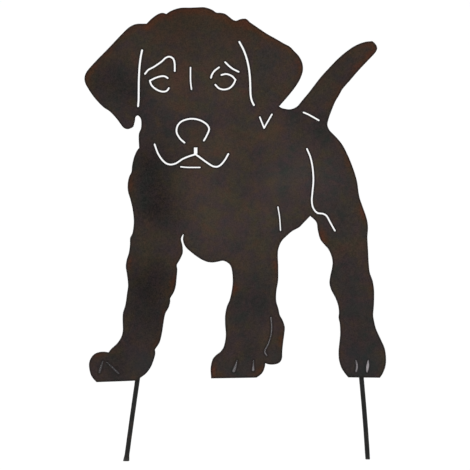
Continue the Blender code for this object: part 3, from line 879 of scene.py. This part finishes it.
def black_rod():
    """Hot-rolled rod: black scale with lengthwise drawing marks, a few brown freckles and a paler tip, a
    painted highlight.

    The layer along is the distance up the rod from the ground line, in millimetres.
    """
    paint = Paint("black rod")
    along = paint.layer("along")
    streak = paint.noise(0.7, 3, 0.6, stretch=(1, 1, 26))
    blotch = paint.noise(7, 4, 0.6)
    fleck = paint.noise(1.1, 3, 0.6)
    colour = paint.ramp(
        streak * 0.4 + blotch * 0.6,
        (0.35, tone(22, 22, 22)),
        (0.52, tone(31, 31, 30)),
        (0.70, tone(44, 42, 40)))
    rust = paint.rise(blotch * 0.6 + fleck * 0.5, 0.60, 0.72)
    colour = paint.mix(rust * 0.4, colour, tone(74, 54, 40))
    # Painted highlight: the last few millimetres of the rod are paler, for the light caught near the sheared
    # end
    tip = paint.rise(along, -91.0, -95.0)
    colour = paint.mix(tip * 0.3, colour, tone(76, 75, 72))
    relief = paint.bump(streak, 0.04)
    relief = paint.bump(fleck, 0.05, relief)
    paint.set(Base_Color=colour, Roughness=0.5 + rust * 0.25 + (blotch - 0.5) * 0.2, Metallic=0.3)
    paint.set(Normal=relief, Specular_IOR_Level=0.15)
    return paint.material


def weld_metal():
    """Weld metal left as it cooled: grey with blue and straw heat colours, and brown rust in spots."""
    paint = Paint("weld metal")
    blotch = paint.noise(3.2, 3, 0.6)
    fleck = paint.noise(0.6, 3, 0.6)
    colour = paint.ramp(
        blotch,
        (0.36, tone(66, 68, 76)),
        (0.48, tone(84, 82, 80)),
        (0.62, tone(92, 78, 62)))
    rust = paint.rise(fleck * 0.5 + blotch * 0.6, 0.60, 0.74)
    colour = paint.mix(rust * 0.5, colour, tone(78, 50, 36))
    paint.set(Base_Color=colour, Roughness=0.36 + rust * 0.35, Metallic=0.75 - rust * 0.5)
    paint.set(Normal=paint.bump(fleck, 0.04))
    return paint.material


def studio_white():
    """A plain pale surface that glows a little, so that it stays even."""
    paint = Paint("studio white")
    paint.set(Base_Color=(BACKDROP_GREY,) * 3, Roughness=0.9, Specular_IOR_Level=0.0)
    paint.set(Emission_Color=(1.0, 1.0, 1.0), Emission_Strength=BACKDROP_GLOW)
    return paint.material


# Studio
def sweep(material):
    """A pale floor that curves up into a backdrop: a floor, a quarter circle and a wall, drawn sideways."""
    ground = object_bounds()[0].z
    bend = WALL_BACK - SWEEP_RADIUS
    turn = np.linspace(0, math.pi / 2, 25)[1:]
    line = np.vstack([
        np.column_stack([np.linspace(FLOOR_FRONT, bend, 18), np.zeros(18)]),
        np.column_stack([bend + SWEEP_RADIUS * np.sin(turn), SWEEP_RADIUS - SWEEP_RADIUS * np.cos(turn)]),
        [[WALL_BACK, WALL_TOP]]])
    sides = np.linspace(-SWEEP_SIDE, SWEEP_SIDE, 9)
    grid = np.empty((len(line), len(sides), 3))
    grid[..., 0] = sides
    grid[..., 1] = line[:, :1]
    grid[..., 2] = line[:, 1:] + ground
    rows = (np.arange(len(line) - 1) * len(sides))[:, None] + np.arange(len(sides) - 1)
    quads = np.stack([rows, rows + 1, rows + len(sides) + 1, rows + len(sides)], axis=2).reshape(-1, 4)
    mesh_piece("studio_sweep", grid.reshape(-1, 3), quads.tolist(), material)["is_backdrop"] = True


def soft_light(name, place, size, power):
    """A square soft light of a size in metres and a power in watts, aimed at the statue."""
    data = bpy.data.lights.new(name, "AREA")
    data.shape = "SQUARE"
    data.size = size
    data.energy = power
    lamp = bpy.data.objects.new(name, data)
    lamp.location = place
    lamp.rotation_euler = (Vector(LIGHT_AIM) - Vector(place)).to_track_quat("-Z", "Y").to_euler()
    bpy.context.scene.collection.objects.link(lamp)


def studio():
    """Lights, pale surroundings and the camera, square on to the sheet as in the photograph.

    The lens is the one that takes in VIEW_WIDTH at the sheet's front face.
    """
    world = bpy.data.worlds.new("pale surroundings")
    world.use_nodes = True
    world.node_tree.nodes["Background"].inputs["Color"].default_value = (1.0, 1.0, 1.0, 1.0)
    world.node_tree.nodes["Background"].inputs["Strength"].default_value = SKY_STRENGTH
    bpy.context.scene.world = world
    sweep(studio_white())
    soft_light("key light", place=(-1.6, -2.4, 2.0), size=1.6, power=18)
    soft_light("fill light", place=(2.2, -2.0, 1.0), size=1.8, power=5)
    soft_light("back light", place=(0.6, 1.5, 1.6), size=1.2, power=8)

    data = bpy.data.cameras.new("camera")
    data.sensor_width = SENSOR_WIDTH
    front = -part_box(SHEET)[0].y
    data.lens = SENSOR_WIDTH * (CAMERA_DISTANCE - front) / (VIEW_WIDTH * MM)
    data.clip_end = 50
    camera = bpy.data.objects.new("camera", data)
    camera.location = (VIEW_CENTRE[0] * MM, -CAMERA_DISTANCE, VIEW_CENTRE[1] * MM)
    camera.rotation_euler = (math.pi / 2, 0, 0)
    bpy.context.scene.collection.objects.link(camera)
    bpy.context.scene.camera = camera
    bpy.context.scene.view_settings.view_transform = "Standard"


def main():
    """Dresses each solid with its own piece and finish, and sets up the studio."""
    sheet = puppy_sheet(weathered_steel())
    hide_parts(SHEET)
    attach(sheet, "root")
    rod_finish = black_rod()
    weld_finish = weld_metal()
    for stake in STAKES:
        rod = stake_rod(stake, rod_finish)
        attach(rod, "root")
        for side in (-1, 1):
            bead = weld_bead(stake, side, weld_finish)
            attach(bead, "root")
    studio()


main()
